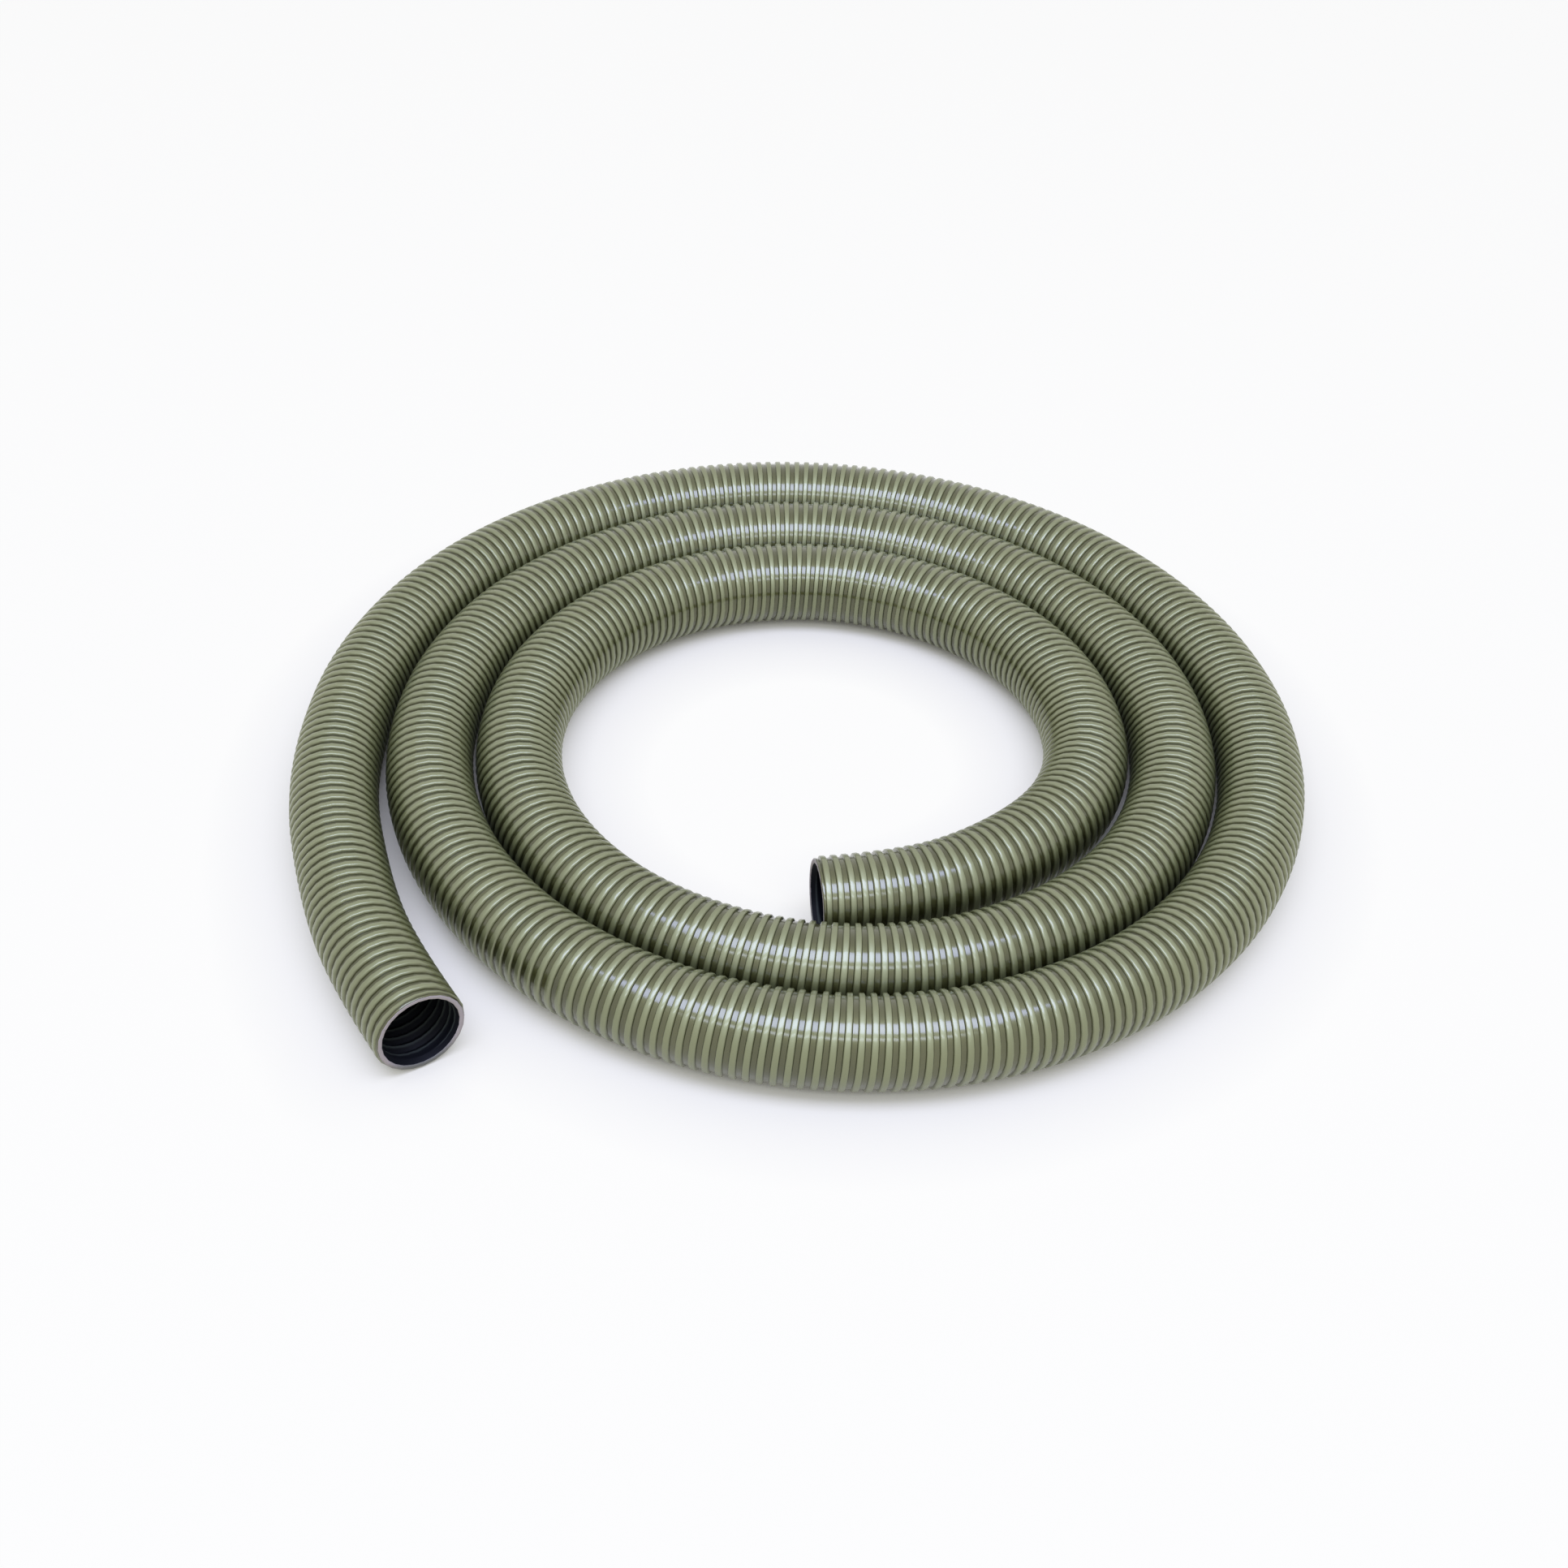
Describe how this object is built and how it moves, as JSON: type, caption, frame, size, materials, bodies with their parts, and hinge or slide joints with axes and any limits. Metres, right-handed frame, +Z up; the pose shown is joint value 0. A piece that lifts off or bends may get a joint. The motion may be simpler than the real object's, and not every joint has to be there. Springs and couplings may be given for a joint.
{
  "type": "suction hose",
  "caption": "Bare corrugated suction hose lying flat in a loose spiral, with a plain cut mouth at each end for a cuff or spigot.",
  "frame": {"origin": "middle of the coil's footprint, on the surface that the hose lies on", "axes": "+Z up out of the flat coil; -Y towards the side where both mouths lie; +X along the coil's widest reach"},
  "size_m": [0.4708, 0.4502, 0.04],
  "materials": {
    "hose_plastic": "satin olive with a metallic sheen"
  },
  "bodies": {
    "root": {"hose": "hose_plastic"}
  },
  "joints": []
}
